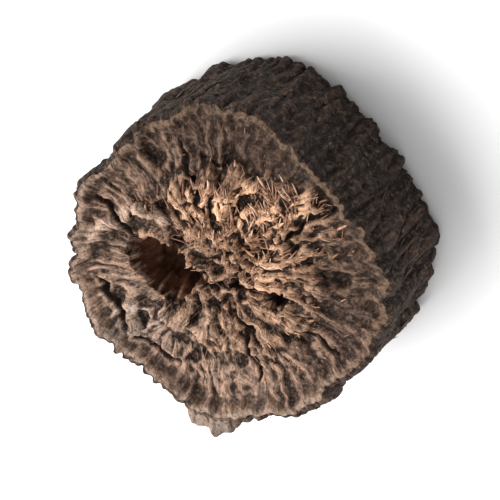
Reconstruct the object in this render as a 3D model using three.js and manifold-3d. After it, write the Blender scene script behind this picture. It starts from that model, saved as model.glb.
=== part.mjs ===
// A thick slice of dried burdock root, lying on one of its two cut ends.
//
// The slice is a short length of the taproot: furrowed bark round a wide disc of wood and
// pith. Drying has drawn the bark into lengthwise furrows and four blunt lobes, sunk the
// upper cut end a little below its rim, and opened hollows in the pith. A torn flap of bark
// stands out from the rim. The root grew as one piece, so the slice is one mesh.
//
// Units are millimetres. +Z runs up along the root, from the end that the slice lies on to
// the end that faces up. The origin is the middle of the footprint, on the lower end.

import * as THREE from "three";
import { mergeVertices } from "three/addons/utils/BufferGeometryUtils.js";
import Module from "manifold-3d";

// Driving dimensions.
const RADIUS = 7; // mean, over the bark
const LENGTH = 6.8; // between the cut ends, at the root's middle
const EDGE = 0.35; // rounding where the bark meets a cut end
const DISH = 0.4; // how far the upper end has sunk inside its rim
const DISH_POWER = 8; // the higher this is, the nearer the rim the sinking starts
const CUT_RISE = 0.045; // the upper cut's slope: it isn't quite square to the root
const CUT_TOWARDS = 120; // the angle in degrees that the upper cut rises towards

// The outline's lobes and the bark's furrows: each is a cosine wave round the root, whose
// first crest is at an angle in degrees. The crest drifts by so many degrees on its way up.
const LOBES = [
  { waves: 1, depth: 0.25, crest: -59, drift: 0 },
  { waves: 2, depth: 0.11, crest: -36, drift: 0 },
  { waves: 3, depth: 0.19, crest: -36, drift: 2 },
  { waves: 4, depth: 0.22, crest: -3, drift: 3 },
];
const FURROWS = [
  { waves: 13, depth: 0.11, crest: 9, drift: 5 },
  { waves: 23, depth: 0.07, crest: 4, drift: -3 },
];

// Hollows in the pith. Each has its place on the cut end, its half length, half width and
// depth, and the angle in degrees that its length lies at.
const UPPER_HOLLOWS = [
  { x: -2.8, y: -0.5, long: 1.7, wide: 1.15, deep: 2.6, turn: -32 },
  { x: 2.2, y: -1.5, long: 0.55, wide: 0.45, deep: 1.1, turn: 20 },
];
const LOWER_HOLLOWS = [{ x: -1.5, y: 0.7, long: 1.6, wide: 0.9, deep: 1.6, turn: 35 }];

// The torn flap of bark: its place and half width in degrees, how far it stands out, the
// shares of the length between which it comes away, and the share of its reach that is left
// at the rim above it.
const FLAP = { at: 260, half: 11, reach: 1.15, from: 0.6, to: 0.93, left: 0.2 };

// How finely the surface is divided.
const AROUND = 96;
const END_RINGS = 9;
const EDGE_STEPS = 3;
const WALL_ROWS = 9;
const HOLLOW_AROUND = 20;
const HOLLOW_RINGS = 12;

const radians = THREE.MathUtils.degToRad;
const wasm = await Module();
wasm.setup();

// The half profile of a plain round of root, from the axis at the bottom to the axis at the top.
function roundProfile() {
  const rim = RADIUS - EDGE;
  const lower = [];
  for (let i = 0; i <= END_RINGS; i++) {
    lower.push(new THREE.Vector2((rim * i) / END_RINGS, 0));
  }
  for (let i = 1; i <= EDGE_STEPS; i++) {
    const turn = ((i / EDGE_STEPS) * Math.PI) / 2;
    lower.push(new THREE.Vector2(rim + EDGE * Math.sin(turn), EDGE - EDGE * Math.cos(turn)));
  }
  const wall = [];
  for (let i = 1; i < WALL_ROWS; i++) {
    wall.push(new THREE.Vector2(RADIUS, EDGE + ((LENGTH - 2 * EDGE) * i) / WALL_ROWS));
  }
  const upper = lower.map((point) => new THREE.Vector2(point.x, LENGTH - point.y)).reverse();
  return [...lower, ...wall, ...upper];
}

// The sum of cosine waves at an angle, in radians, and a share of the length.
function wavesAt(waves, angle, up) {
  return waves.reduce(
    (sum, w) => sum + w.depth * Math.cos(w.waves * (angle - radians(w.crest + w.drift * up))),
    0,
  );
}

// How far the torn flap stands out from the bark.
function flapAt(angle, up) {
  const turn = angle - radians(FLAP.at);
  const away = Math.atan2(Math.sin(turn), Math.cos(turn)) / radians(FLAP.half);
  const rise = THREE.MathUtils.smoothstep(up, FLAP.from, FLAP.to);
  const fall = THREE.MathUtils.smoothstep(up, FLAP.to, 1);
  return FLAP.reach * Math.exp(-(away ** 2)) * (rise - (1 - FLAP.left) * fall);
}

// The bark's distance from the root's axis.
function barkRadius(angle, up) {
  return RADIUS + wavesAt(LOBES, angle, up) + wavesAt(FURROWS, angle, up) + flapAt(angle, up);
}

// The upper cut's height over a point of the footprint.
function cutHeight(x, y) {
  const towards = radians(CUT_TOWARDS);
  return LENGTH + CUT_RISE * (x * Math.cos(towards) + y * Math.sin(towards));
}

// Moves a point of the plain round to its place on the dried slice.
function dryPoint(point) {
  const up = point.z / LENGTH;
  const angle = Math.atan2(point.y, point.x);
  const across = Math.hypot(point.x, point.y) / RADIUS;
  const radius = across * barkRadius(angle, up);
  point.x = radius * Math.cos(angle);
  point.y = radius * Math.sin(angle);
  point.z = up * cutHeight(point.x, point.y);
  if (up > 1 - EDGE / LENGTH) {
    point.z -= DISH * (1 - across ** DISH_POWER);
  }
}

// The round of root, turned on its axis and dried, with no hollows yet.
function driedRound() {
  const turned = new THREE.LatheGeometry(roundProfile(), AROUND);
  turned.rotateX(Math.PI / 2);
  const position = turned.getAttribute("position");
  const point = new THREE.Vector3();
  for (let i = 0; i < position.count; i++) {
    point.fromBufferAttribute(position, i);
    dryPoint(point);
    position.setXYZ(i, point.x, point.y, point.z);
  }
  return turned;
}

// The space of one hollow: a blob that reaches as deep into the cut end as the hollow does.
function hollowSpace(hollow, height) {
  return new THREE.SphereGeometry(1, HOLLOW_AROUND, HOLLOW_RINGS)
    .rotateX(Math.PI / 2)
    .scale(hollow.long, hollow.wide, hollow.deep)
    .rotateZ(radians(hollow.turn))
    .translate(hollow.x, hollow.y, height);
}

// A closed geometry as a manifold-3d solid.
function solidOf(geometry) {
  geometry.deleteAttribute("normal");
  geometry.deleteAttribute("uv");
  const merged = mergeVertices(geometry, 1e-4);
  return new wasm.Manifold(
    new wasm.Mesh({
      numProp: 3,
      vertProperties: merged.getAttribute("position").array,
      triVerts: Uint32Array.from(merged.index.array),
    }),
  );
}

// A manifold-3d solid as a geometry.
function geometryOf(solid) {
  const mesh = solid.getMesh();
  const geometry = new THREE.BufferGeometry();
  geometry.setAttribute("position", new THREE.BufferAttribute(mesh.vertProperties, 3));
  geometry.setIndex(new THREE.BufferAttribute(mesh.triVerts, 1));
  return geometry;
}

// The whole slice: the dried round, less its hollows, set on the middle of its footprint.
function rootSlice() {
  const upper = UPPER_HOLLOWS.map((h) => hollowSpace(h, cutHeight(h.x, h.y) - DISH));
  const lower = LOWER_HOLLOWS.map((h) => hollowSpace(h, 0));
  const solid = [...upper, ...lower].reduce(
    (rest, space) => rest.subtract(solidOf(space)),
    solidOf(driedRound()),
  );
  const slice = geometryOf(solid);
  slice.computeBoundingBox();
  const middle = slice.boundingBox.getCenter(new THREE.Vector3());
  slice.translate(-middle.x, -middle.y, -slice.boundingBox.min.z);
  slice.computeVertexNormals();
  return slice;
}

const driedRoot = new THREE.MeshStandardMaterial({
  color: "#7a5a44",
  roughness: 0.9,
  metalness: 0,
});

const root = new THREE.Mesh(rootSlice(), driedRoot);
root.name = "burdock_root_slice";

const part = new THREE.Group();
part.add(root);

export default part;
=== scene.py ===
import itertools
import math

import bpy
import numpy as np
from bpy.props import FloatProperty, FloatVectorProperty, IntProperty, PointerProperty
from mathutils import Matrix, Vector


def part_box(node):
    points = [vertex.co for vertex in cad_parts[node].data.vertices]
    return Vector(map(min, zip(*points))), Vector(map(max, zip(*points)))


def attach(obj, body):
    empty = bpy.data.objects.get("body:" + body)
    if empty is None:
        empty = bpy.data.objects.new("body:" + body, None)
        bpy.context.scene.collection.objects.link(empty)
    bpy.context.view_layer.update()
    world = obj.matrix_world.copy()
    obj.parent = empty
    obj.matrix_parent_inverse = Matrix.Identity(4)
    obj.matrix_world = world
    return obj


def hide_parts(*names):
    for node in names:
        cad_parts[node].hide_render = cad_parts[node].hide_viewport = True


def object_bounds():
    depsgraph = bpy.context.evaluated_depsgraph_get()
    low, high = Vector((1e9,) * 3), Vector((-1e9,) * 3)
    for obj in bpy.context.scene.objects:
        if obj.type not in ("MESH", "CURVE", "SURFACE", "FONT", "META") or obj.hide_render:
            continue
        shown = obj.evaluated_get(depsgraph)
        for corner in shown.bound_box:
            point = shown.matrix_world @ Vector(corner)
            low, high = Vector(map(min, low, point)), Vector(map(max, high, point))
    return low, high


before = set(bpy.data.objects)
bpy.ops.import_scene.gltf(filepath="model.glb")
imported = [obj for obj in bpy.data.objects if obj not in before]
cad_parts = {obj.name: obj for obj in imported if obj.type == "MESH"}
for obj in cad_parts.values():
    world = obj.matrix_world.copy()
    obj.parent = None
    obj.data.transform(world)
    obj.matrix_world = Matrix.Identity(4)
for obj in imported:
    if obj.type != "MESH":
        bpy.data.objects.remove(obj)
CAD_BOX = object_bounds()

bl_info = {
    "name": "Dried Root Slice",
    "version": (1, 0, 0),
    "blender": (4, 5, 0),
    "location": "3D View > Sidebar > Root Slice",
    "description": "Builds a thick slice of dried root with torn fibres, and a pale studio",
    "category": "Add Mesh",
}

MM = 0.001  # metres in a millimetre
NODE = "burdock_root_slice"
BODY = "root"
SLICE = "dried_root_slice"
LOW, HIGH = (np.array(corner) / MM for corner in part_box(NODE))

# The slice's driving dimensions, as the frame has them.
RADIUS = 7.0  # mean, over the bark
LENGTH = 6.8  # between the cut ends, at the root's middle
CUT_RISE = 0.045  # the upper cut's slope
CUT_TOWARDS = 120  # the angle in degrees that the upper cut rises towards

# The outline's lobes: cosine waves round the root, each with its number of waves, its depth,
# the angle of its first crest at the lower end, and how far that turns on the way up, in
# degrees.
LOBES = ((1, 0.25, -59, 0), (2, 0.11, -36, 0), (3, 0.19, -36, 2), (4, 0.22, -3, 3))

# The bark's furrows, in three widths: the radius of the circle that their noise is read round,
# in its lattice steps, the furrows' depth, the lattice steps up the slice, and a seed.
FURROWS = ((2.3, 0.55, 0.5, 12), (5.2, 0.5, 0.7, 13), (11, 0.3, 1.0, 14))

# Hollows: the side (1 is the upper end, -1 the lower), place, half length, half width, depth,
# the angle in degrees that its length lies at, and how wide the skin round it is stretched.
HOLLOWS = (
    (1, (-2.8, -0.5), 1.7, 1.15, 2.6, -32, 1.2),
    (1, (2.2, -1.5), 0.5, 0.42, 1.1, 20, 0.6),
    (-1, (-1.5, 0.7), 1.6, 0.9, 1.6, 35, 1.1),
    (-1, (2.6, -1.4), 0.5, 0.35, 0.8, 10, 0.5),
)

# Soft-edged dents: the side, place, half width and depth of each.
DENTS = (
    (1, (-1.0, -0.9), 0.4, 0.45),
    (1, (5.0, -0.6), 0.45, 0.5),
    (1, (4.4, 2.9), 0.5, 0.5),
    (1, (3.0, 0.9), 0.3, 0.35),
    (1, (-3.9, -2.9), 0.4, 0.4),
    (1, (-5.1, -1.9), 0.35, 0.35),
    (1, (0.7, -3.0), 0.35, 0.35),
    (1, (3.3, -3.4), 0.3, 0.35),
    (1, (-1.6, -4.6), 0.4, 0.35),
    (1, (-2.6, 4.3), 0.45, 0.4),
    (1, (0.8, 4.6), 0.5, 0.35),
    (-1, (1.5, 3.9), 0.5, 0.4),
    (-1, (-4.2, -2.2), 0.5, 0.4),
)

# Drying cracks: the side, the start and end of each, its half width and its depth.
CRACKS = (
    (1, (-1.6, -0.9), (2.0, -1.3), 0.12, 0.6),
    (1, (-3.6, 0.5), (-5.4, 2.6), 0.09, 0.45),
    (1, (2.2, 0.9), (5.0, 2.6), 0.1, 0.5),
    (1, (0.5, -2.2), (1.2, -5.4), 0.09, 0.45),
    (1, (-0.6, 1.6), (-1.4, 5.2), 0.08, 0.4),
    (1, (-5.9, -0.9), (-4.6, -3.6), 0.1, 0.45),
    (1, (-4.3, -3.7), (-2.3, -5.0), 0.08, 0.35),
    (1, (3.0, -2.6), (4.6, -3.9), 0.08, 0.35),
    (-1, (-0.4, 0.4), (3.6, 2.4), 0.12, 0.5),
    (-1, (0.2, -0.9), (-2.2, -4.6), 0.1, 0.5),
    (-1, (-2.6, 2.0), (-4.8, 4.0), 0.09, 0.4),
)

# Patches of the upper end with a look of their own: place, half length, half width, strength.
TORN_PATCHES = ((1.3, 2.0, 2.7, 1.4, 1.0), (1.7, -0.7, 1.7, 1.2, 0.5), (2.1, -3.6, 1.6, 1.5, 0.25))
GREY_PATCHES = ((-4.2, -2.9, 1.5, 1.6, 0.9), (-1.0, -2.6, 0.9, 0.9, 0.35))

# The raised fold of skin beside the main hollow: the angles in degrees between which it runs
# round the hollow's middle, and its distance from there at the first angle and the last.
FOLD_ANGLES, FOLD_REACHES = (68, 175), (2.15, 3.4)

# The torn flap of bark: its angle and half width in degrees, how far it stands out, and the
# share of that which is left at the rim above it.
FLAP_AT, FLAP_HALF, FLAP_REACH, FLAP_LEFT = 260, 11, 1.15, 0.2

PITH = (-0.7, -0.2)  # where the rays of the wood and the bark spread from
PITH_REACH = 2.2  # nearer the pith than this, the tissue is spongy and has no rays
PALE_SIDE = 225  # the angle in degrees of the side painted lighter, as painted light and dust; the far side is painted in shade

# The slice's half profile, from the middle of the upper end, over the rim, down the bark and
# back to the middle of the lower end, is numbered 0 to 3: 1 and 2 are the two rims. Between
# them are rows of points, over the rim's rounding, down the bark and round the foot.
RIM_ROWS, WALL_ROWS, FOOT_ROWS = 10, 52, 7
ROWS = RIM_ROWS + WALL_ROWS + FOOT_ROWS

LOWER_PROFILE, LOWER_RELIEF = 0.45, 0.55  # the lower cut's, as shares of the upper cut's
FOLD_HEIGHT, STAIN_DEPTH = 0.2, 0.1
WALL_RELIEF, WALL_DEPTH = 0.34, 0.14  # how rough the hollows' walls are, and how far set back
CREST_HEIGHT, SWELL_HEIGHT = 0.05, 0.22  # how far a full crest and a full swell stand out

CORK_STARTS = 0.03  # the last share of the way out, where cork takes over from the cut
GRAIN_SQUEEZE = 0.16  # on the length along the grain, so that streaks are long and thin

STRAND_STEPS = 6  # sections along a torn fibre or a flake, after its first
FIBRE_EDGE, WOOD_EDGE = 0.86, 0.62  # how far out fibres grow, and how far out most of them do
FIBRE_ROOT, FLAKE_ROOT = 0.06, 0.05  # how far under the surface each one starts
TUFT_LEAN = (0.1, 1.0, 0)  # the way that the fibres of the torn tuft lean
FLAKE_LIFT = 0.06  # how far a flake's tip stands off the bark
FLAKE_ZONE = 0.36  # flakes start within this share of the length from its middle
RIM_ROOM, FOOT_ROOM = 0.8, 0.9  # how far flakes stop from each end of the bark
SHORTEST_FLAKE = 0.2

LATTICE = 256  # the cells along each axis after which noise repeats
NOISE_GAIN = 1.6  # brings gradient noise to about -1 to 1
CREASE_LEVEL = 0.3  # taken off creases, so that they sink the surface as well as raise it
CUT_NOISE_AT = 9.0  # the height, up or down, at which the noise of each cut end is read

TISSUE_IOR = 1.45  # dry plant tissue
SMOOTHEST = 5 / 6  # a material's lowest roughness, as a share of its highest
GRAIN_LOW, GRAIN_HIGH = 0.35, 0.65  # most of a noise texture lies between these
RING_WANDER = 0.07  # how far the cut end's rings stray, as a share of its radius
MIX_BELOW, MIX_ABOVE, MIX_RESULT = 6, 7, 2  # a Mix node's sockets for colours

STUDIO_FLOOR = 3.0  # metres across
PAPER_ROUGHNESS = 0.9
LAMP_AWAY = 0.25  # metres from the slice's middle
KEY_FROM = (-1.0, -0.35, 1.15)
FILL_FROM = (0.2, -1.0, 1.4)
CAMERA_AZIMUTH, CAMERA_ELEVATION, CAMERA_ROLL = 135, 59, -135  # degrees
CAMERA_LENS, CAMERA_SENSOR = 200, 36  # millimetres
FRAME_FILL = 0.74  # the slice's share of the picture's width


# ---------------------------------------------------------------- noise and small formulas


def blend(low, high, value):
    """0 below low, 1 above high, and the smooth step 3t² - 2t³ between them."""
    share = np.clip((value - low) / (high - low), 0, 1)
    return share * share * (3 - 2 * share)


def hump(value, middle, width):
    """A bell, exp(-d²), where d is the distance from its middle in widths."""
    return np.exp(-(((value - middle) / width) ** 2))


def stairs(value):
    """The whole part of the value, with the last quarter of each step rising to the next."""
    whole = np.floor(value)
    return whole + blend(0.75, 1, value - whole)


def cell_number(shuffle, cell):
    """A shuffled number for each cell of the lattice, always the same for the same cell."""
    last = LATTICE - 1
    x, y, z = (cell & last).T
    return shuffle[(shuffle[(shuffle[x] + y) & last] + z) & last]


def noise(points, seed):
    """Gradient noise, about -1 to 1: each corner of a unit lattice has a random slope, and
    the eight slopes round a point are blended by 6t⁵ - 15t⁴ + 10t³ along each axis."""
    random = np.random.default_rng(seed)
    shuffle = random.permutation(LATTICE)
    slopes = random.normal(size=(LATTICE, 3))
    slopes /= np.linalg.norm(slopes, axis=1)[:, None]
    cell = np.floor(points).astype(int)
    inside = points - cell
    fade = inside**3 * (inside * (inside * 6 - 15) + 10)
    total = np.zeros(len(points))
    for corner in itertools.product((0, 1), repeat=3):
        slope = slopes[cell_number(shuffle, cell + corner)]
        weight = np.where(corner, fade, 1 - fade).prod(axis=1)
        total += weight * (slope * (inside - corner)).sum(axis=1)
    return total * NOISE_GAIN


def creases(points, seed, octaves=1):
    """0 in sharp valleys, rising to rounded tops: the size of gradient noise, whose zero
    lines make the valleys, added to finer copies of itself."""
    return sum(np.abs(noise(points * 2**i, seed + i)) / 2**i for i in range(octaves))


def ridges(points, seed):
    """1 on thin crests, falling away on both sides: the square of 1 less the size of noise."""
    return (1 - np.minimum(np.abs(noise(points, seed)), 1)) ** 2


def pits(points, seed):
    """1 in small round pits, 0 between them: how near the nearest point of a jittered
    lattice lies, as a smooth step."""
    random = np.random.default_rng(seed)
    shuffle = random.permutation(LATTICE)
    jitter = random.random((LATTICE, 3))
    cell = np.floor(points).astype(int)
    least = np.full(len(points), np.inf)
    for step in itertools.product((-1, 0, 1), repeat=3):
        seat = jitter[cell_number(shuffle, cell + step)]
        least = np.minimum(least, np.linalg.norm(cell + step + seat - points, axis=1))
    return blend(0.42, 0.15, least)


def wander(points, wide, reach, seed):
    """Points moved sideways, up to about their reach, by noise of a width in millimetres."""
    moves = [noise(points / wide, seed + axis) for axis in range(3)]
    return points + reach * np.stack(moves, axis=1)


def polar(angle, around, *rest):
    """Points whose first two coordinates go once round a circle, so noise has no seam."""
    rest = [np.broadcast_to(values, angle.shape) for values in rest]
    return np.stack([around * np.cos(angle), around * np.sin(angle), *rest], axis=1)


# ---------------------------------------------------------------- the slice's surface


def disc_grid(steps):
    """A square grid bent onto a disc: a point's share of the way out is its square ring's
    half width, and its angle runs evenly along each side of the ring."""
    side = np.linspace(-1, 1, steps + 1)
    x, y = np.meshgrid(side, side)
    wide = np.abs(x) >= np.abs(y)
    reach = np.where(wide, x, y)
    lean = np.divide(np.where(wide, y, x), reach, out=np.zeros_like(x), where=reach != 0)
    angle = np.where(wide, lean, 2 - lean) * math.pi / 4
    angle = np.where(reach < 0, angle + math.pi, angle)
    return np.abs(reach).ravel(), angle.ravel()


def grid_border(steps):
    """The grid's border points, once round from the corner at -135 degrees."""
    index = np.arange((steps + 1) ** 2).reshape(steps + 1, steps + 1)
    return np.concatenate([index[0, :-1], index[:-1, -1], index[-1, :0:-1], index[:0:-1, 0]])


def quads_of(index):
    """The quads of a grid of point numbers."""
    corners = index[:-1, :-1], index[:-1, 1:], index[1:, 1:], index[1:, :-1]
    return np.stack(corners, axis=-1).reshape(-1, 4)


def slice_layout(steps):
    """Where each point is on the half profile, 0 to 3, and round the root, with the quads:
    a bent grid on each end, joined by rows of the same points down the bark."""
    share, angle = disc_grid(steps)
    border = grid_border(steps)
    row_at = 1 + np.arange(1, ROWS) / ROWS
    at = np.concatenate([share, np.repeat(row_at, len(border)), 3 - share])
    around = np.concatenate([angle, np.tile(angle[border], ROWS - 1), angle])
    grid = np.arange(len(share)).reshape(steps + 1, steps + 1)
    foot = len(at) - len(share)
    between = len(share) + np.arange((ROWS - 1) * len(border)).reshape(ROWS - 1, -1)
    band = np.vstack([border, between, foot + border])
    band = np.hstack([band, band[:, :1]])
    parts = quads_of(grid), quads_of(band)[:, ::-1], foot + quads_of(grid)[:, ::-1]
    return at, around, np.concatenate(parts)


def bark_radius(angle, up, furrow_depth):
    """The bark's distance from the axis: the mean, the lobes' cosine waves, furrows that are
    the valleys of noise stretched along the root, at three widths, and broad sunken places."""
    radius = np.full(len(angle), RADIUS)
    for waves, depth, crest, drift in LOBES:
        radius += depth * np.cos(waves * (angle - np.radians(crest + drift * up)))
    drifting = angle + 0.07 * noise(polar(angle, 1.5, up * 1.7), 11)
    drifting += 0.015 * noise(polar(angle, 6, up * 4), 10)
    for around, depth, rise, seed in FURROWS:
        tops = np.abs(noise(polar(drifting, around, up * rise), seed))
        radius += furrow_depth * depth * (np.minimum(tops, 0.55) - CREASE_LEVEL)
    return radius - 0.5 * np.maximum(noise(polar(drifting, 1.4, up * 1.6), 15), 0)


def flap_height(angle, up):
    """How far the torn flap stands out: flat across its middle, steep at its sides, and
    swelling from the bark to a ledge just under the rim."""
    turn = np.angle(np.exp(1j * (angle - math.radians(FLAP_AT))))
    ragged = 1 + 0.2 * noise(polar(angle, 9, up * 4), 21)
    across = np.exp(-(np.abs(turn / math.radians(FLAP_HALF) * ragged) ** 3))
    ledge = blend(0.58, 0.92, up) - (1 - FLAP_LEFT) * blend(0.925, 0.985, up)
    torn = 1 + 0.22 * noise(polar(angle, 13, up * 2), 22)
    return FLAP_REACH * across * ledge * torn


def sink(hollow, side, x, y, z):
    """Draws the skin of a cut end down into a hollow. A point's share of the way from the
    hollow's middle to its mouth becomes an angle, whose sine takes it out and cosine down."""
    on, (cx, cy), long, wide, deep, lies, skin = hollow
    turn = math.radians(lies)
    dx, dy = x - cx, y - cy
    along = dx * math.cos(turn) + dy * math.sin(turn)
    over = dy * math.cos(turn) - dx * math.sin(turn)
    away = np.hypot(along, over) + 1e-9
    bearing = np.arctan2(over, along)
    mouth = 1 / np.hypot(np.cos(bearing) / long, np.sin(bearing) / wide)
    mouth *= 1 + 0.2 * noise(polar(bearing, 1.6, cx), 31) + 0.09 * noise(polar(bearing, 4, cy), 32)
    source = mouth + 0.5 * skin
    edge = mouth + skin
    quarter = np.clip(away / source, 0, 1) * math.pi / 2
    inside = away < source
    beyond = mouth + (away - source) / (edge - source) * (edge - mouth)
    moved = np.where(inside, mouth * np.sin(quarter) ** 0.8, np.where(away < edge, beyond, away))
    moved = np.where(side == on, moved, away)
    drop = np.where(inside & (side == on), deep * np.cos(quarter) ** 1.3, 0)
    scale = moved / away
    # The hollow leans as it deepens, as the hollow in a pith does.
    return cx + dx * scale + 0.12 * drop, cy + dy * scale - 0.08 * drop, z - on * drop, drop / deep


def crack_depth(crack, side, x, y):
    """A V-shaped crack, narrowing to nothing at both of its ends."""
    on, (ax, ay), (bx, by), half, deep = crack
    length = math.hypot(bx - ax, by - ay)
    along = ((x - ax) * (bx - ax) + (y - ay) * (by - ay)) / length**2
    over = np.abs((x - ax) * (by - ay) - (y - ay) * (bx - ax)) / length
    width = half * np.sqrt(np.clip(4 * along * (1 - along), 0, 1)) + 1e-6
    return np.where(side == on, deep * np.clip(1 - over / (2.2 * width), 0, 1) ** 1.5, 0)


def dent_depth(dent, side, x, y):
    """A soft-edged dent, exp(-d⁴), where d is the distance from its middle in half widths."""
    on, (cx, cy), half, deep = dent
    away = np.hypot(x - cx, y - cy) / half
    return np.where(side == on, deep * np.exp(-(away**4)), 0)


def gap_depths(points, side):
    """The depth of the cracks and of the dents at each point, along lines that wander."""
    moved = wander(wander(points * (1, 1, 0), 1.1, 0.35, 41), 0.33, 0.12, 44)
    x, y = moved[:, 0], moved[:, 1]
    cracks = np.max([crack_depth(crack, side, x, y) for crack in CRACKS], axis=0)
    dents = np.max([dent_depth(dent, side, x, y) for dent in DENTS], axis=0)
    return cracks, dents


def fold_and_stain(points, side):
    """Two bells across the way out from the main hollow: 1 along the raised fold of skin
    beside it, and 1 along the darker strip between the fold and the hollow's mouth."""
    _, (cx, cy), *_ = HOLLOWS[0]
    moved = wander(points * (1, 1, 0), 1.3, 0.3, 47)
    x, y = moved[:, 0] - cx, moved[:, 1] - cy
    bearing = np.degrees(np.arctan2(y, x)) % 360
    first, last = FOLD_ANGLES
    ends = (side == 1) * blend(first - 10, first + 15, bearing) * blend(last + 10, last - 15, bearing)
    beyond = np.hypot(x, y) - np.interp(bearing, FOLD_ANGLES, FOLD_REACHES)
    return hump(beyond, 0, 0.3) * ends, hump(beyond, -0.65, 0.36) * ends


def end_profile(share, angle, dish):
    """The height of a cut end over its rim: the wood stands a little proud, a groove parts
    it from the bark, and the bark has sunk behind its thin corky lip."""
    share = share + 0.09 * noise(polar(angle, 2.0, 3.0), 51) * (1 - share)
    lip = blend(0.9, 0.985, share)
    wood = 0.16 * (1 - blend(0.5, 0.68, share))
    middle = -0.1 * hump(share, 0, 0.3)
    broken = 0.6 + 0.8 * noise(polar(angle, 1.3, 7.0), 52)
    groove = -0.16 * hump(share, 0.655, 0.028) * broken
    behind_lip = -0.08 * hump(share, 0.93, 0.016) * (0.6 + noise(polar(angle, 1.1, 9.0), 53))
    return (wood + middle + groove + behind_lip - dish) * (1 - lip)


def body_points(at, angle, sizes):
    """The slice before its fine relief: its half profile carried round the axis, with the
    bark's radius at each angle, then the hollows drawn in."""
    on_end = np.where(at <= 1, 1, np.where(at >= 2, -1, 0))
    share = np.where(at <= 1, at, np.where(at >= 2, 3 - at, 1))
    # The grid's rings close up towards the rim, where the finest shapes are.
    spread = share * 1.1 - 0.1 * share**7
    rim_round, foot_round = sizes.rim_round / MM, sizes.foot_round / MM
    row = np.clip(at - 1, 0, 1) * ROWS
    rim_turn = np.clip(row / RIM_ROWS, 0, 1) * math.pi / 2
    foot_turn = np.clip((ROWS - row) / FOOT_ROWS, 0, 1) * math.pi / 2
    fall = np.clip((row - RIM_ROWS) / WALL_ROWS, 0, 1)
    inset = rim_round * (1 - np.sin(rim_turn)) + foot_round * (1 - np.sin(foot_turn))
    chips = 0.12 * np.minimum(noise(polar(angle, 5, 1), 61), 0) + 0.07 * noise(polar(angle, 14, 1), 62)
    top = LENGTH + chips
    height = top - rim_round * (1 - np.cos(rim_turn))
    height -= fall * (top - rim_round - foot_round)
    height = np.where(row > ROWS - FOOT_ROWS, foot_round * (1 - np.cos(foot_turn)), height)
    height = np.where(on_end == -1, 0, height)
    up = height / LENGTH
    radius = bark_radius(angle, up, sizes.furrow_depth) + flap_height(angle, up) - inset
    x, y = radius * spread * np.cos(angle), radius * spread * np.sin(angle)
    towards = math.radians(CUT_TOWARDS)
    z = height + up * CUT_RISE * (x * math.cos(towards) + y * math.sin(towards))
    profile = end_profile(spread, angle, sizes.dish / MM)
    z += np.where(on_end == 1, 1, -LOWER_PROFILE) * (on_end != 0) * profile
    hollow = np.zeros(len(x))
    for each in HOLLOWS:
        x, y, z, depth = sink(each, on_end, x, y, z)
        hollow = np.maximum(hollow, depth)
    return np.stack([x, y, z], axis=1), on_end, spread, hollow


def normals_of(points, quads):
    """Unit normals: each point's mean of its quads' crossed diagonals."""
    a, b, c, d = (points[quads[:, i]] for i in range(4))
    crossed = np.cross(c - a, d - b)
    summed = summed_to_points(np.stack([crossed] * 4, axis=1), quads, len(points))
    return summed / np.linalg.norm(summed, axis=1)[:, None]


def summed_to_points(values, quads, count):
    """For each point, the sum of the three-part values at its corners of the quads."""
    corners = quads.ravel()
    parts = [np.bincount(corners, values[:, :, axis].ravel(), count) for axis in range(3)]
    return np.stack(parts, axis=1)


def smoothed(values, quads, rounds):
    """The values after some rounds, in each of which a point takes its quads' mean value."""
    counts = 4 * np.bincount(quads.ravel(), minlength=len(values))
    for _ in range(rounds):
        sums = values[quads].sum(axis=1)
        values = summed_to_points(np.stack([sums] * 4, axis=1), quads, len(values)) / counts[:, None]
    return values


def standing_out(points, normals, quads, rounds, height):
    """-1 in the valleys and 1 on the crests: how far each point stands out of the smoothed
    surface, in the given height."""
    stand = ((points - smoothed(points, quads, rounds)) * normals).sum(axis=1)
    return np.clip(stand / height, -1, 1)


def flat_on(points, side):
    """The points of a cut end laid flat, at the height where its own noise is read."""
    return np.stack([points[:, 0], points[:, 1], side * CUT_NOISE_AT], axis=1)


def ray_frame(points, share, side):
    """Each point's angle and distance from the pith, which the rays spread from. Their centre
    slides from the pith to the axis on the way out, so that they meet the rim square."""
    centre = np.outer(1 - share**2, PITH)
    dx, dy = (points[:, :2] - centre).T
    flat = flat_on(points, side)
    bend = 0.16 * noise(flat * 0.5, 83) + 0.05 * noise(flat * 1.7, 85)
    return np.arctan2(dy, dx) + bend * (1 - share**6), np.hypot(dx, dy)


def bark_relief(points, angle):
    """Cork on the bark: lengthwise wrinkles of two widths, the edges of flaking skin, and a
    few short cross cracks."""
    warp = wander(points, 0.9, 0.16, 72)
    around = np.arctan2(warp[:, 1], warp[:, 0])
    wrinkles = 0.2 * (creases(polar(around, 14, points[:, 2] * 0.22), 75) - CREASE_LEVEL)
    fine = 0.07 * (creases(polar(around, 27, points[:, 2] * 0.4), 76) - CREASE_LEVEL)
    plates = 0.07 * blend(-0.02, 0.03, noise(warp * (0.8, 0.8, 0.22), 77))
    plates += 0.04 * blend(0.1, 0.14, noise(warp * (1.6, 1.6, 0.5), 78))
    rings = -0.05 * blend(0.42, 0.55, noise(polar(angle, 3, points[:, 2] * 3.2), 79))
    return wrinkles + fine + plates + rings


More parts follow.
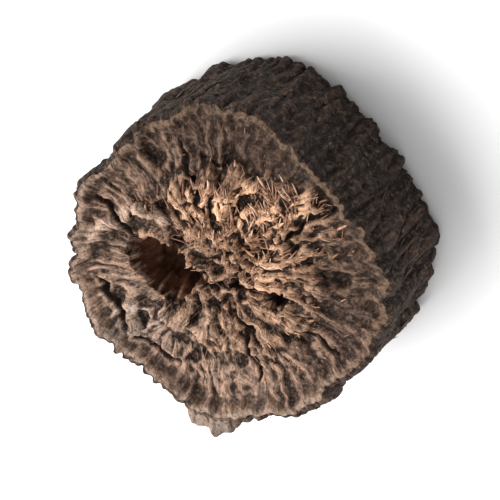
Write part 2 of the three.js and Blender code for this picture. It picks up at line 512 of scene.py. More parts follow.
def end_relief(points, share, side, rays):
    """Dried tissue on a cut end. The bark's tissue has folds that run outwards. The wood has
    broken off in splinters at many heights, with thin crests on them and torn gaps between
    them. Both have a grain of cells."""
    turned, away = rays
    flat = flat_on(points, side)
    warp = wander(flat, 1.25, 0.35, 81)
    reach = np.clip(away / PITH_REACH, 0, 1)
    out = away * 0.26 + side * 5
    rough = blend(-0.5, 0.6, noise(flat * 0.45, 97))
    folds = creases(polar(turned, 7.5 * reach, out), 84)
    narrow = creases(polar(turned, 15 * reach, out * 1.3), 86)
    threads = creases(polar(turned, 26 * reach, out * 2), 96)
    outer = 0.2 * (np.minimum(folds, 0.5) - CREASE_LEVEL) * (0.4 + rough)
    outer += 0.16 * (narrow - CREASE_LEVEL)
    outer += 0.05 * stairs(2.5 * noise(polar(turned, 3.5, out * 2), 88))
    breaks = noise(polar(turned, 4.5 * reach, out * 1.5), 87) + 0.6 * noise(warp * 0.8, 88)
    splinters = 0.1 * stairs(3.2 * breaks)
    sheets = 0.2 * (ridges(polar(turned, 6 * reach, out * 1.6), 90) - 0.4)
    net = 0.1 * (ridges(warp * 1.5, 94) + 0.5 * ridges(warp * 3.1, 98) - 0.7)
    torn = -0.32 * blend(0.22, 0.45, noise(polar(turned, 5.5 * reach, out * 2.2), 99))
    torn -= 0.2 * blend(0.35, 0.5, noise(warp * 1.9, 100))
    inner = (splinters + sheets + net) * (0.6 + rough) + torn
    inner -= 0.1 * pits(warp * 3.0, 91) * rough
    in_bark = blend(0.58, 0.7, share + 0.05 * noise(flat * 0.8, 89))
    lip = blend(0.84, 0.97, share)
    fine = 0.1 * (threads - CREASE_LEVEL) + 0.05 * noise(warp * 3.4, 92)
    return (outer * in_bark + inner * (1 - in_bark)) * (1 - 0.85 * lip) + fine


def patches(points, side, places, seed):
    """1 in patches of the upper end with ragged edges: the sum of each one's bell, where the
    distance from its middle is measured in its half length and half width."""
    ragged = 0.45 * noise(points * 0.7, seed) + 0.25 * noise(points * 2.1, seed + 1)
    total = np.zeros(len(points))
    for x, y, long, wide, strength in places:
        away = np.hypot((points[:, 0] - x) / long, (points[:, 1] - y) / wide)
        total += strength * hump(np.maximum(away + ragged, 0), 0, 1)
    return np.clip(total, 0, 1) * (side == 1)


def slice_surface(sizes):
    """Everything about the slice's surface, as arrays: its points in millimetres, its quads,
    and the measures that its material reads."""
    at, angle, quads = slice_layout(sizes.steps)
    points, side, share, hollow = body_points(at, angle, sizes)
    rays = ray_frame(points, share, side)
    normals = normals_of(points, quads)
    cut = np.where(side == 0, 0, np.clip((1 - share) / CORK_STARTS, 0, 1))
    relief = sizes.relief * end_relief(points, share, side, rays) * cut
    relief *= np.where(side == -1, LOWER_RELIEF, 1)
    relief += bark_relief(points, angle) * (1 - cut)
    in_hole = blend(0.03, 0.25, hollow)
    walls = WALL_RELIEF * creases(points * (2.4, 2.4, 0.5), 95, 3) - WALL_DEPTH
    relief = relief * (1 - in_hole) + walls * in_hole
    fold, stain = (each * (1 - in_hole) for each in fold_and_stain(points, side))
    solid = (1 - in_hole) * (1 - blend(0.9, 0.97, share))
    cracks, dents = (depth * solid for depth in gap_depths(points, side))
    points = points + normals * (relief + FOLD_HEIGHT * fold - STAIN_DEPTH * stain)[:, None]
    points[:, 2] -= side * np.maximum(sizes.crack_size * cracks, dents)
    normals = normals_of(points, quads)
    length = np.interp(at, (0, 1, 2, 3), (0, RADIUS, RADIUS + LENGTH, 2 * RADIUS + LENGTH))
    turned, away = rays
    on_bark = side == 0
    reach = np.where(on_bark, 1, np.clip(away / PITH_REACH, 0, 1))
    measures = {
        "share": np.where(on_bark, 1.0, share),
        "bark": on_bark * 1.0,
        "crest": standing_out(points, normals, quads, 8, CREST_HEIGHT),
        "swell": standing_out(points, normals, quads, 60, SWELL_HEIGHT),
        "hollow": hollow,
        "crack": np.clip(cracks * 2.5, 0, 1),
        "dent": dents,
        "flap": on_bark * flap_height(angle, points[:, 2] / LENGTH) / FLAP_REACH,
        "fold": fold,
        "stain": stain,
        "grain": polar(np.where(on_bark, angle, turned), RADIUS * reach, length * GRAIN_SQUEEZE),
        # Painted light and shade: 1 on the side at PALE_SIDE, which layers paint lighter, and 0 on the
        # far side, which they paint darker.
        "pale": 0.5 + 0.5 * np.cos(angle - math.radians(PALE_SIDE)),
        "warm": patches(points, side, TORN_PATCHES, 101),
        "ashy": patches(points, side, GREY_PATCHES, 103),
    }
    return points, quads, measures


def fit_to_frame(points):
    """Scales the points along each axis, by less than a tenth, to fill the CAD node's box."""
    share = (points - points.min(axis=0)) / np.ptp(points, axis=0)
    return LOW + share * (HIGH - LOW)


# ---------------------------------------------------------------- strands and flakes


def strands(starts, aims, bends, faces, lengths, widths, thicks):
    """Tapering strands, as points, quads and each point's strand and share of its length. The
    path is start + length (aim s + bend s²). Its section has a corner on each side, half a
    width out, and one on its face and its back, half a thickness out. Both shrink as
    1 - 0.7 s⁴."""
    share = np.linspace(0, 1, STRAND_STEPS + 1)[None, :, None]
    curve = aims[:, None] * share + bends[:, None] * share**2
    path = starts[:, None] + lengths[:, None, None] * curve
    along = aims[:, None] + 2 * bends[:, None] * share
    along /= np.linalg.norm(along, axis=2, keepdims=True)
    across = np.cross(faces[:, None], along)
    across /= np.linalg.norm(across, axis=2, keepdims=True)
    outward = np.cross(along, across)
    across = across * widths[:, None, None] / 2
    outward = outward * thicks[:, None, None] / 2
    corners = np.stack([across, outward, -across, -outward], axis=2)
    points = path[:, :, None] + corners * (1 - 0.7 * share**4)[:, :, None]
    index = np.arange(points[..., 0].size).reshape(points.shape[:3])
    turned = np.roll(index, -1, axis=2)
    sides = np.stack([index[:, :-1], turned[:, :-1], turned[:, 1:], index[:, 1:]], axis=-1)
    quads = np.concatenate([sides.reshape(-1, 4), index[:, 0, ::-1], index[:, -1]])
    strand = np.broadcast_to(np.arange(len(starts))[:, None, None], index.shape)
    along_share = np.broadcast_to(share, index.shape)
    return points.reshape(-1, 3), quads, strand.ravel(), along_share.ravel()


def read_piece(piece, *names):
    """A piece's points in millimetres, its normals, and some of its measures."""
    mesh = piece.data
    count = len(mesh.vertices)
    points, normals = np.empty(count * 3), np.empty(count * 3)
    mesh.vertices.foreach_get("co", points)
    mesh.vertex_normals.foreach_get("vector", normals)
    values = [np.empty(count) for _ in names]
    for name, column in zip(names, values):
        mesh.attributes[name].data.foreach_get("value", column)
    return points.reshape(-1, 3) / MM, normals.reshape(-1, 3), *values


def unit(vectors):
    """The vectors, each one unit long."""
    return vectors / np.linalg.norm(vectors, axis=1)[:, None]


def nearest(points, places):
    """The number of the point p that is nearest to each place q: the least p·p - 2 p·q."""
    return np.argmin((points**2).sum(axis=1) - 2 * places @ points.T, axis=1)


def scattered(random, weight, count):
    """The numbers of some different points, each one as likely as its weight."""
    return random.choice(len(weight), count, replace=False, p=weight / weight.sum())


def fibre_points(slice_piece, sizes):
    """Torn fibres: each starts just under the cut surface, mostly in the torn patches of the
    wood, and leans up out of the cut, away from the pith. In the tuft, which is the torn
    tissue on the +Y side, they lean more nearly one way."""
    random = np.random.default_rng(201)
    points, normals, share, hollow, warm = read_piece(slice_piece, "share", "hollow", "warm")
    level = (points[:, 2] > LENGTH / 2) & (hollow < 0.02) & (normals[:, 2] > 0.3)
    weight = level * (share < FIBRE_EDGE) * (warm**1.2 + 0.07 * (share < WOOD_EDGE) + 0.02)
    bunched = blend(-0.1, 0.45, noise(points * (1.6, 1.6, 0), 205))
    weight = weight * (0.08 + bunched)
    chosen = scattered(random, weight, sizes.count)
    starts = points[chosen] - FIBRE_ROOT * normals[chosen]
    tuft = warm[chosen][:, None] * (points[chosen, 1] > 0)[:, None]
    outward = unit((points[chosen] - (*PITH, 0)) * (1, 1, 0))
    lean = outward * (1 - tuft) + tuft * np.array(TUFT_LEAN)
    swirl = [noise(points[chosen] * 0.9, 206 + axis) for axis in range(2)]
    aims = lean + 0.9 * np.stack([*swirl, np.zeros(sizes.count)], axis=1)
    aims += 0.3 * random.normal(size=(sizes.count, 3)) * (1, 1, 0.2)
    aims = unit(unit(aims) + np.array([0, 0, 0.6]) * random.random((sizes.count, 1)))
    bends = 0.1 * random.normal(size=(sizes.count, 3)) - np.array([0, 0, 0.05])
    longest = sizes.length / MM
    lengths = longest * (0.25 + 0.75 * random.random(sizes.count) ** 2) * (0.6 + 0.4 * tuft[:, 0])
    widths = sizes.width / MM * (0.4 + 1.4 * random.random(sizes.count) ** 3)
    faces = normals[chosen] + 0.5 * random.normal(size=(sizes.count, 3))
    made = strands(starts, aims, bends, faces, lengths, widths, widths * 0.4)
    tones = 0.65 * random.random(sizes.count) + 0.35 * warm[chosen]
    return made, tones


def flake_points(slice_piece, sizes):
    """Flakes of cork that have lifted: long thin scales along the bark, up or down the root,
    each from a point just under the surface to another a little off it."""
    random = np.random.default_rng(301)
    points, normals, bark, swell, flap = read_piece(slice_piece, "bark", "swell", "flap")
    weight = (bark > 0.5) * (swell > -0.1) * (flap < 0.02)
    weight = weight * (np.abs(points[:, 2] - LENGTH / 2) < LENGTH * FLAKE_ZONE)
    chosen = scattered(random, weight, sizes.flakes)
    starts = points[chosen] - FLAKE_ROOT * normals[chosen]
    upward = np.where(points[chosen, 2] > random.random(sizes.flakes) * LENGTH, -1, 1)[:, None]
    sideways = np.cross(normals[chosen], (0, 0, 1)) * random.normal(size=(sizes.flakes, 1))
    aims = unit(upward * np.array([0, 0, 1]) + 0.12 * sideways)
    bends = 0.03 * random.random((sizes.flakes, 1)) * normals[chosen]
    room = np.where(upward[:, 0] > 0, LENGTH - RIM_ROOM - starts[:, 2], starts[:, 2] - FOOT_ROOM)
    lengths = sizes.flake_length / MM * (0.4 + 0.6 * random.random(sizes.flakes))
    lengths = np.clip(lengths, SHORTEST_FLAKE, np.maximum(room, SHORTEST_FLAKE))
    reached = nearest(points, points[chosen] + lengths[:, None] * aims)
    aims = points[reached] + FLAKE_LIFT * normals[reached] - starts
    lengths = np.linalg.norm(aims, axis=1)
    widths = sizes.flake_width / MM * (0.4 + 0.6 * random.random(sizes.flakes))
    made = strands(starts, unit(aims), bends, normals[chosen], lengths, widths, widths * 0.2)
    return made, random.random(sizes.flakes)


# ---------------------------------------------------------------- meshes


def new_piece(name, points, faces, material, measures):
    """A mesh object of points in millimetres, with its measures as attributes."""
    mesh = bpy.data.meshes.new(name)
    mesh.vertices.add(len(points))
    mesh.vertices.foreach_set("co", (points * MM).astype(np.float32).ravel())
    mesh.loops.add(faces.size)
    mesh.loops.foreach_set("vertex_index", faces.astype(np.int32).ravel())
    mesh.polygons.add(len(faces))
    mesh.polygons.foreach_set("loop_start", np.arange(0, faces.size, 4, dtype=np.int32))
    mesh.polygons.foreach_set("use_smooth", np.ones(len(faces), dtype=bool))
    for key, values in measures.items():
        kind, field = ("FLOAT_VECTOR", "vector") if values.ndim == 2 else ("FLOAT", "value")
        made = mesh.attributes.new(key, kind, "POINT")
        made.data.foreach_set(field, values.astype(np.float32).ravel())
    mesh.update()
    mesh.validate()
    mesh.materials.append(material)
    piece = bpy.data.objects.new(name, mesh)
    bpy.context.scene.collection.objects.link(piece)
    return piece


def new_strand_piece(name, grown_on, scene, material):
    """A piece of strands or flakes grown on the slice by one of the functions above, kept
    inside the frame's box, with each one's tone."""
    made, tones = grown_on(bpy.data.objects[SLICE], scene.root_strands)
    points, quads, strand, along = made
    measures = {"tone": tones[strand], "along": along}
    return new_piece(name, np.clip(points, LOW, HIGH), quads, material, measures)


def stand_for_root(piece):
    """Makes a piece ride with the root."""
    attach(piece, BODY)


# ---------------------------------------------------------------- materials


def linear(code):
    """An sRGB hex colour as three linear values."""
    parts = np.array([int(code[i : i + 2], 16) for i in (0, 2, 4)]) / 255
    return tuple(np.where(parts <= 0.04045, parts / 12.92, ((parts + 0.055) / 1.055) ** 2.4))


def new_material(name):
    """An empty material, with its node tree."""
    material = bpy.data.materials.new(name)
    material.use_nodes = True
    material.node_tree.nodes.clear()
    return material, material.node_tree


def add_node(tree, kind, settings=None, inputs=None, output=0):
    """Adds a node with its settings and its inputs, which are values or other nodes' sockets,
    and gives back one of its outputs. A ramp's stops are (place, colour) pairs."""
    made = tree.nodes.new("ShaderNode" + kind)
    for key, value in (settings or {}).items():
        if key == "stops":
            while len(made.color_ramp.elements) < len(value):
                made.color_ramp.elements.new(1)
            for stop, (place, colour) in zip(made.color_ramp.elements, value):
                stop.position, stop.color = place, colour
        else:
            setattr(made, key, value)
    for key, value in (inputs or {}).items():
        if isinstance(value, bpy.types.NodeSocket):
            tree.links.new(value, made.inputs[key])
        else:
            made.inputs[key].default_value = value
    return made.outputs[output] if len(made.outputs) else None


def paints(colours):
    """A group of colours as a dictionary of four-part colours."""
    return {name: (*getattr(colours, name), 1) for name in colours.__annotations__}


def measures_of(tree, attributes, speckles):
    """The sockets that a material's layers read, by name: the piece's own attributes, and
    noise in grains of a size in millimetres, either in space or along the piece's grain."""
    place = add_node(tree, "TexCoord", output="Object")
    in_mm = add_node(tree, "Mapping", None, {"Vector": place, "Scale": (1 / MM,) * 3})
    sockets = {}
    for name in attributes:
        sockets[name] = add_node(tree, "Attribute", {"attribute_name": name}, output="Fac")
    for name, along_grain, size, detail in speckles:
        vector = in_mm
        if along_grain:
            vector = add_node(tree, "Attribute", {"attribute_name": "grain"}, output="Vector")
        inputs = {"Vector": vector, "Scale": 0.5 / size, "Detail": detail, "Roughness": 0.6}
        sockets[name] = add_node(tree, "TexNoise", None, inputs)
    return sockets


def laid_over(tree, base, layers, measures, paint):
    """Lays colours over a base, one after another. A layer shows where every one of its
    measures has passed from its first value to its second, as strongly as it says."""
    for colour, strength, gates in layers:
        share = strength
        for name, first, second in gates:
            inputs = {"Value": measures[name], "From Min": first, "From Max": second}
            gate = add_node(tree, "MapRange", {"interpolation_type": "SMOOTHSTEP"}, inputs)
            share = add_node(tree, "Math", {"operation": "MULTIPLY"}, {0: share, 1: gate})
        inputs = {0: share, MIX_BELOW: base, MIX_ABOVE: paint[colour]}
        base = add_node(tree, "Mix", {"data_type": "RGBA"}, inputs, MIX_RESULT)
    return base


def bumped(tree, measures, bumps):
    """A normal roughened by some of the measures, each so many millimetres high."""
    normal = None
    for name, high in bumps:
        inputs = {"Strength": 1.0, "Distance": high * MM, "Height": measures[name]}
        if normal:
            inputs["Normal"] = normal
        normal = add_node(tree, "Bump", None, inputs)
    return normal


def finish_material(tree, base, normal, grain, roughest, specular):
    """Ends a material in a matt, uncoated surface, whose roughness follows its grain."""
    spread = {"Value": grain, "From Min": GRAIN_LOW, "From Max": GRAIN_HIGH}
    spread.update({"To Min": roughest * SMOOTHEST, "To Max": roughest})
    finish = {
        "Base Color": base,
        "Roughness": add_node(tree, "MapRange", None, spread),
        "IOR": TISSUE_IOR,
        "Specular IOR Level": specular,
        "Normal": normal,
    }
    shader = add_node(tree, "BsdfPrincipled", None, finish)
    add_node(tree, "OutputMaterial", None, {"Surface": shader})


SLICE_MEASURES = "share bark crest swell hollow crack dent flap fold stain pale warm ashy".split()
STRAND_MEASURES = ("tone", "along")

# The noise that the layers read: its name, whether it runs along the grain, the size of its
# grains in millimetres, and its detail. Dried cells are 0.02 to 0.05 mm across, too fine to
# show, so the finest grit is drawn at 0.07 mm.
SLICE_SPECKLES = (
    ("coarse", False, 1.6, 4.0),
    ("medium", False, 0.5, 4.0),
    ("fine", False, 0.16, 4.0),
    ("grit", False, 0.07, 2.0),
    ("streak", True, 0.35, 3.0),
    ("thread", True, 0.1, 2.0),
)
STRAND_SPECKLES = (("fine", False, 0.12, 3.0), ("medium", False, 0.4, 3.0))

# What roughens the slice, and how many millimetres high.
SLICE_BUMPS = (("medium", 0.16), ("streak", 0.14), ("fine", 0.08), ("thread", 0.1), ("grit", 0.05))

# The colours laid over the cut ends, over the cork, and then over both, from the lowest to
# the topmost: each one's strength, and the measures that let it through, with the value
# where each starts to and the value where it fully does.
CUT_LAYERS = (
    # Painted light with dust: the inner bark paler in patches on the side towards PALE_SIDE.
    ("pale_and_lit_bark", 1.0, (("pale", 0.35, 0.9), ("share", 0.55, 0.75), ("coarse", 0.3, 0.6))),
    # Painted shade: the inner bark darker on the side away from PALE_SIDE.
    ("shaded_inner_bark", 0.75, (("pale", 0.5, 0.1), ("share", 0.6, 0.75))),
    # Pale rays, shown more strongly on the side towards PALE_SIDE: real rays with painted light.
    ("pale_ray_and_highlight", 0.55, (("streak", 0.47, 0.7), ("pale", 0.0, 0.8))),
    ("torn_wood", 1.0, (("warm", 0.0, 0.9), ("crest", -0.45, 0.45))),
    ("torn_wood", 0.5, (("share", 0.72, 0.5), ("crest", 0.1, 0.9), ("coarse", 0.4, 0.6))),
    ("ashy", 0.95, (("ashy", 0.05, 0.8), ("coarse", 0.3, 0.55), ("crest", -0.4, 0.3))),
    # Painted highlight: pale crests, strongest on the side towards PALE_SIDE.
    ("pale_ray_and_highlight", 0.6, (("crest", 0.1, 0.9), ("pale", -0.2, 0.9))),
    ("dark_tissue_and_shade", 0.5, (("stain", 0.1, 0.8), ("coarse", 0.25, 0.5))),
    ("dark_tissue_and_shade", 0.5, (("streak", 0.5, 0.3),)),
    # Painted shade in the tissue's narrow valleys, inside the rim.
    ("dark_tissue_and_shade", 0.95, (("crest", 0.05, -0.65), ("share", 1.03, 0.85))),
    # Painted shade in the surface's broad hollows, inside the rim.
    ("dark_tissue_and_shade", 0.75, (("swell", 0.0, -0.9), ("share", 0.97, 0.85))),
    # Dark tissue and painted shade in the dents, away from their crests.
    ("dark_tissue_and_shade", 0.6, (("dent", 0.05, 0.4), ("crest", 0.6, -0.2))),
    ("fold_skin", 0.8, (("fold", 0.2, 0.8), ("crest", -0.8, 0.3))),
    ("lip", 0.8, (("share", 0.945, 0.975), ("medium", 0.35, 0.5))),
    # Painted highlight with dust: the lip paler on the side towards PALE_SIDE.
    ("lit_lip", 0.8, (("share", 0.95, 0.98), ("pale", 0.3, 0.75), ("medium", 0.35, 0.55))),
)
CORK_LAYERS = (
    ("cork_grey", 1.0, (("coarse", 0.35, 0.65),)),
    ("cork_pale", 0.5, (("streak", 0.47, 0.7),)),
    ("worn", 0.7, (("crest", 0.1, 0.9), ("medium", 0.4, 0.65))),
    ("pale_and_lit_bark", 0.75, (("flap", 0.25, 0.75), ("medium", 0.32, 0.58))),
    ("ashy", 0.3, (("flap", 0.4, 0.9), ("coarse", 0.3, 0.5))),
    # Painted shade in the cork's narrow valleys.
    ("shade_and_dark_grain", 0.85, (("crest", 0.1, -0.6),)),
    # Painted shade in the cork's broad hollows.
    ("shade_and_dark_grain", 0.8, (("swell", 0.1, -0.8),)),
    # Painted shade: the bark darker on the side away from PALE_SIDE.
    ("shade_and_dark_grain", 0.58, (("pale", 0.65, 0.05),)),
)
OVERALL_LAYERS = (
    ("dust", 0.3, (("fine", 0.5, 0.7),)),
    ("shade_and_dark_grain", 0.55, (("thread", 0.52, 0.36),)),
    ("shade_and_dark_grain", 0.5, (("grit", 0.5, 0.34),)),
    # Dust, thicker on the side towards PALE_SIDE: dust with painted light.
    ("dust", 0.35, (("grit", 0.52, 0.68), ("pale", -0.5, 0.8))),
    ("pith_shadow", 0.9, (("hollow", 0.02, 0.5),)),
    # Painted shade inside the hollows, in patches and along streaks.
    ("dark_tissue_and_shade", 0.75, (("hollow", 0.05, 0.8), ("medium", 0.62, 0.38))),
    ("dark_tissue_and_shade", 0.5, (("hollow", 0.05, 0.8), ("streak", 0.5, 0.35))),
    # Painted shade in the cracks.
    ("dark_tissue_and_shade", 1.0, (("crack", 0.0, 0.6),)),
    ("shade_and_dark_grain", 0.7, (("crack", 0.35, 1.0),)),
    # Painted shade: the hollows darker on the side away from PALE_SIDE.
    ("shade_and_dark_grain", 0.85, (("hollow", 0.02, 0.4), ("pale", 0.8, 0.5))),
)


def slice_material(paint):
    """Dried root, sawn across: dead corky bark and torn, spongy tissue. It is matt all over, with
    pale ridges that are painted highlights, dark pits, valleys, cracks and hollows that are
    painted shade, and a lengthwise streak that turns the corner at the rim."""
    material, tree = new_material("sawn_and_dried_root")
    measures = measures_of(tree, SLICE_MEASURES, SLICE_SPECKLES)
    # The cut end's rings, from the middle out, with their borders moved by noise.
    reach = {"Value": measures["medium"], "To Min": -RING_WANDER, "To Max": RING_WANDER}
    ragged = add_node(tree, "MapRange", None, reach)
    ring = add_node(tree, "Math", {"operation": "ADD"}, {0: measures["share"], 1: ragged})
    stops = (
        (0.0, paint["wood"]),
        (0.3, paint["wood"]),
        (0.56, paint["wood_outer"]),
        (0.64, paint["cambium"]),
        (0.7, paint["inner_bark"]),
        (1.0, paint["inner_bark"]),
    )
    rings = add_node(tree, "ValToRGB", {"stops": stops}, {"Fac": ring})
    end = laid_over(tree, rings, CUT_LAYERS, measures, paint)
    cork = laid_over(tree, paint["cork"], CORK_LAYERS, measures, paint)
    inputs = {0: measures["bark"], MIX_BELOW: end, MIX_ABOVE: cork}
    whole = add_node(tree, "Mix", {"data_type": "RGBA"}, inputs, MIX_RESULT)
    whole = laid_over(tree, whole, OVERALL_LAYERS, measures, paint)
    normal = bumped(tree, measures, SLICE_BUMPS)
    finish_material(tree, whole, normal, measures["medium"], roughest=0.97, specular=0.28)
    return material


def strand_material(name, base, layers, bumps, grain, paint, **finish):
    """A material of strands or flakes, painted by each one's tone and the share along it."""
    material, tree = new_material(name)
    measures = measures_of(tree, STRAND_MEASURES, STRAND_SPECKLES)
    painted = laid_over(tree, paint[base], layers, measures, paint)
    finish_material(tree, painted, bumped(tree, measures, bumps), measures[grain], **finish)
    return material


def fibre_material(paint):
    """Torn wood fibre, bleached by drying: tan strands, darker at the root and palest at the
    tip, with the slight sheen of straw."""
    layers = (
        ("fibre_pale", 0.75, (("tone", 0.5, 1.0), ("along", -0.2, 0.7))),
        ("fibre_dark", 0.9, (("tone", 0.6, 0.05),)),
        ("fibre_dark", 0.8, (("along", 0.45, 0.0),)),
        ("fibre_dark", 0.5, (("fine", 0.5, 0.35),)),
    )
    bumps = (("medium", 0.05), ("fine", 0.03))
    finish = {"roughest": 0.76, "specular": 0.4}
    return strand_material("torn_root_fibre", "fibre", layers, bumps, "fine", paint, **finish)


def flake_material(paint):
    """Lifted cork: thin grey-brown scales, scuffed pale along their tips, quite matt."""
    layers = (
        ("cork_pale", 0.8, (("tone", 0.3, 1.0), ("medium", 0.4, 0.6))),
        ("worn", 0.6, (("along", 0.3, 1.0), ("tone", 0.4, 0.9))),
        ("shade_and_dark_grain", 0.6, (("fine", 0.5, 0.35),)),
    )
    bumps = (("medium", 0.08), ("fine", 0.04))
    finish = {"roughest": 0.97, "specular": 0.3}
    return strand_material("peeling_cork", "cork_grey", layers, bumps, "medium", paint, **finish)


# ---------------------------------------------------------------- what a user may change


def length_property(name, description, default):
    """A length in metres, given in millimetres."""
    return FloatProperty(
        name=name, description=description, default=default * MM, min=0, unit="LENGTH", precision=5
    )


def amount_property(name, description, default=1.0):
    """A number from 0 up: watts, or how many times its usual size something is."""
    return FloatProperty(name=name, description=description, default=default, min=0)


def colour_property(name, description, code):
    """A colour, given as an sRGB hex code."""
    return FloatVectorProperty(
        name=name, description=description, subtype="COLOR", size=3, min=0, max=1, default=linear(code)
    )


class RootSliceSizes(bpy.types.PropertyGroup):
    """The slice's shape inside the frame's box"""

    steps: IntProperty(
        name="Grid steps", description="Steps across each cut end", default=160, min=24, max=160
    )
    rim_round: length_property("Rim rounding", "Rounding where the bark meets the upper cut", 0.2)
    foot_round: length_property("Foot rounding", "Rounding where the bark meets the lower cut", 0.25)
    dish: length_property("Dish", "How far the cut tissue has sunk inside its rim", 0.34)
    furrow_depth: amount_property("Furrow depth", "Depth of the bark's furrows, 1 as grown")
    relief: amount_property("Cut relief", "Height of the torn tissue, 1 as dried")
    crack_size: amount_property("Crack depth", "Depth of the drying cracks, 1 as dried")


class RootStrandSizes(bpy.types.PropertyGroup):
    """The torn fibres on the cut and the flakes on the bark"""

    count: IntProperty(name="Fibres", description="How many fibres stand up", default=1100, min=1)
    length: length_property("Fibre length", "The longest fibre", 1.15)
    width: length_property("Fibre width", "A middling fibre's width at its root", 0.09)
    flakes: IntProperty(name="Flakes", description="How many flakes have lifted", default=150, min=1)
    flake_length: length_property("Flake length", "The longest flake", 1.4)
    flake_width: length_property("Flake width", "The widest flake", 0.34)


class RootColours(bpy.types.PropertyGroup):
    """The colours of the cut, the bark and the fibres"""

    wood: colour_property("Wood", "The wood's tissue on the cut", "77543d")
    wood_outer: colour_property("Outer wood", "The wood's outer tissue", "5d4231")
    cambium: colour_property("Cambium", "The dark ring between wood and bark", "33231a")
    inner_bark: colour_property("Inner bark", "The bark's tissue on the cut", "483429")
    # Painted light with dust on the inner bark towards PALE_SIDE, and the pale flap's own colour.
    pale_and_lit_bark: colour_property("Pale inner bark", "The bark's tissue where it dried palest", "8a7060")
    # Painted shade on the inner bark, on the side away from PALE_SIDE.
    shaded_inner_bark: colour_property("Dusky inner bark", "The bark's tissue where it dried darkest", "34241b")
    lip: colour_property("Lip", "The bark's edge round the cut", "66513f")
    # Painted highlight with dust, on the lip on the side towards PALE_SIDE.
    lit_lip: colour_property("Pale lip", "The bark's edge where it dried palest", "a88f7f")
    torn_wood: colour_property("Torn wood", "Fresh-looking torn tissue", "f6c39c")
    fold_skin: colour_property("Fold", "The raised fold of skin by the hollow", "c9ab97")
    ashy: colour_property("Ashy tissue", "Fuzzy grey tissue", "a3968d")
    # Real pale rays, and painted highlights on the crests.
    pale_ray_and_highlight: colour_property("Pale rays", "Crests and rays of the tissue", "be9981")
    # Real dark tissue and streaks, and painted shade in valleys, dents, cracks and hollows.
    dark_tissue_and_shade: colour_property("Dark tissue", "Pits and gaps in the tissue", "22140b")
    pith_shadow: colour_property("Pith", "The walls of the hollows", "734a33")
    cork: colour_property("Cork", "The bark's dark cork", "261b17")
    cork_grey: colour_property("Grey cork", "The bark's weathered cork", "3a2a20")
    cork_pale: colour_property("Pale cork", "Streaks on the cork", "513f36")
    # Painted shade in the bark's valleys, cracks and hollows, and the dark fine grain.
    shade_and_dark_grain: colour_property("Furrow", "The bottoms of the bark's furrows", "130b09")
    worn: colour_property("Worn cork", "The tops of the bark's ridges", "6e5546")
    # Also painted light where it lies thicker towards PALE_SIDE.
    dust: colour_property("Dust", "Dry dust caught on the surface", "8f7867")
    fibre: colour_property("Fibre", "Torn fibres", "a87a60")
    fibre_pale: colour_property("Pale fibre", "The palest fibres", "f2d0b3")
    fibre_dark: colour_property("Dark fibre", "The darkest fibres, and their roots", "523626")


class RootStudio(bpy.types.PropertyGroup):
    """The floor and the lights"""

    floor: colour_property("Floor", "The matt paper that the slice lies on", "eeeeee")
    key_power: amount_property("Key light", "The main lamp's power, in watts", 1.35)
    fill_power: amount_property("Fill light", "The second lamp's power, in watts", 0.2)
    lamp_size: length_property("Lamp size", "The side of each square lamp", 280)
    air: amount_property("Air", "Strength of the light from all round", 0.55)


class ROOT_OT_slice(bpy.types.Operator):
    """Builds the slice: bark, both cut ends and the hollows, as one closed skin"""

    bl_idname = "root.slice"
    bl_label = "Root slice"

    def execute(self, context):
        points, quads, measures = slice_surface(context.scene.root_slice)
        material = slice_material(paints(context.scene.root_colours))
        piece = new_piece(SLICE, fit_to_frame(points), quads, material, measures)
        stand_for_root(piece)
        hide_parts(NODE)
        return {"FINISHED"}


class ROOT_OT_fibres(bpy.types.Operator):
    """Stands torn fibres on the slice's upper cut"""

    bl_idname = "root.fibres"
    bl_label = "Torn fibres"

    def execute(self, context):
        material = fibre_material(paints(context.scene.root_colours))
        stand_for_root(new_strand_piece("torn_fibres", fibre_points, context.scene, material))
        return {"FINISHED"}


class ROOT_OT_flakes(bpy.types.Operator):
    """Lifts flakes of cork off the slice's bark"""

    bl_idname = "root.flakes"
    bl_label = "Cork flakes"

    def execute(self, context):
        material = flake_material(paints(context.scene.root_colours))
        stand_for_root(new_strand_piece("cork_flakes", flake_points, context.scene, material))
        return {"FINISHED"}


class ROOT_OT_studio(bpy.types.Operator):
    """Lays the pale floor, and sets the soft lights and the camera"""

    bl_idname = "root.studio"
    bl_label = "Studio"

    def execute(self, context):
        studio = context.scene.root_studio
        middle = (CAD_BOX[0] + CAD_BOX[1]) / 2
        lay_floor(studio)
        light_air(context.scene, studio)
        hang_lamp("key", KEY_FROM, studio.key_power, middle, studio)
        hang_lamp("fill", FILL_FROM, studio.fill_power, middle, studio)
        set_camera(context.scene, middle)
        context.scene.view_settings.view_transform = "Standard"
        return {"FINISHED"}


def lay_floor(studio):
    """A flat square of matt paper under the slice."""
    half = STUDIO_FLOOR / 2
    mesh = bpy.data.meshes.new("studio_floor")
    corners = [(-half, -half, 0), (half, -half, 0), (half, half, 0), (-half, half, 0)]
    mesh.from_pydata(corners, [], [(0, 1, 2, 3)])
    paper, tree = new_material("matt_white_paper")
    finish = {"Base Color": (*studio.floor, 1), "Roughness": PAPER_ROUGHNESS}
    shader = add_node(tree, "BsdfPrincipled", None, finish)
    add_node(tree, "OutputMaterial", None, {"Surface": shader})
    mesh.materials.append(paper)
    floor = bpy.data.objects.new("studio_floor", mesh)
    bpy.context.scene.collection.objects.link(floor)


def light_air(scene, studio):
    """Even white light from all round."""
    world = bpy.data.worlds.new("studio_air")
    world.use_nodes = True
    background = world.node_tree.nodes["Background"]
    background.inputs["Color"].default_value = (1, 1, 1, 1)
    background.inputs["Strength"].default_value = studio.air
    scene.world = world


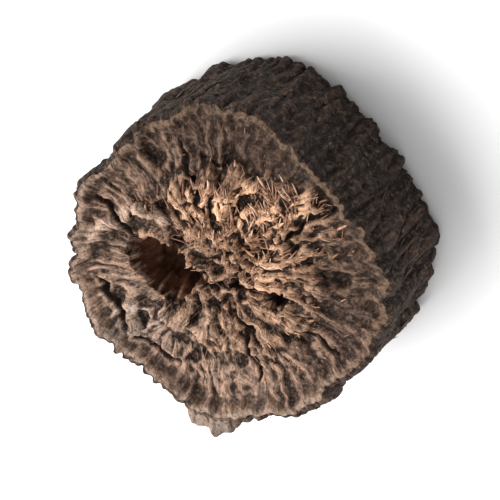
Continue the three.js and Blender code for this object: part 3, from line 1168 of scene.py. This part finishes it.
def hang_lamp(name, towards, watts, middle, studio):
    """A square lamp that faces the slice's middle from a direction."""
    lamp = bpy.data.lights.new(name, "AREA")
    lamp.size = studio.lamp_size
    lamp.energy = watts
    holder = bpy.data.objects.new(name, lamp)
    direction = Vector(towards).normalized()
    holder.location = middle + direction * LAMP_AWAY
    holder.rotation_mode = "QUATERNION"
    holder.rotation_quaternion = direction.to_track_quat("Z", "Y")
    bpy.context.scene.collection.objects.link(holder)


def set_camera(scene, middle):
    """A long lens that looks down on the cut end, far enough off for the slice to fill its
    share of the picture."""
    data = bpy.data.cameras.new("camera")
    data.lens, data.sensor_width = CAMERA_LENS, CAMERA_SENSOR
    data.clip_start, data.clip_end = 0.005, 10
    camera = bpy.data.objects.new("camera", data)
    azimuth, elevation = math.radians(CAMERA_AZIMUTH), math.radians(CAMERA_ELEVATION)
    level = math.cos(elevation)
    back = Vector((math.sin(azimuth) * level, -math.cos(azimuth) * level, math.sin(elevation)))
    across = (CAD_BOX[1] - CAD_BOX[0]).y / FRAME_FILL
    camera.location = middle + back * (across * CAMERA_LENS / CAMERA_SENSOR)
    camera.rotation_mode = "QUATERNION"
    roll = Matrix.Rotation(math.radians(CAMERA_ROLL), 4, "Z").to_quaternion()
    camera.rotation_quaternion = back.to_track_quat("Z", "Y") @ roll
    scene.collection.objects.link(camera)
    scene.camera = camera


class ROOT_PT_panel(bpy.types.Panel):
    """Everything that a user may build or change"""

    bl_idname = "ROOT_PT_panel"
    bl_label = "Root Slice"
    bl_space_type = "VIEW_3D"
    bl_region_type = "UI"
    bl_category = "Root Slice"

    def draw(self, context):
        layout = self.layout
        for operator in OPERATORS:
            layout.operator(operator.bl_idname)
        for name, kind in GROUPS.items():
            box = layout.box()
            for field in kind.__annotations__:
                box.prop(getattr(context.scene, name), field)


GROUPS = {
    "root_slice": RootSliceSizes,
    "root_strands": RootStrandSizes,
    "root_colours": RootColours,
    "root_studio": RootStudio,
}
OPERATORS = (ROOT_OT_studio, ROOT_OT_slice, ROOT_OT_fibres, ROOT_OT_flakes)
CLASSES = (*GROUPS.values(), *OPERATORS, ROOT_PT_panel)


def register():
    for each in CLASSES:
        bpy.utils.register_class(each)
    for name, kind in GROUPS.items():
        setattr(bpy.types.Scene, name, PointerProperty(type=kind))


def unregister():
    for name in GROUPS:
        delattr(bpy.types.Scene, name)
    for each in reversed(CLASSES):
        bpy.utils.unregister_class(each)


def main():
    register()
    bpy.ops.root.studio()
    bpy.ops.root.slice()
    bpy.ops.root.fibres()
    bpy.ops.root.flakes()


if __name__ == "__main__":
    main()
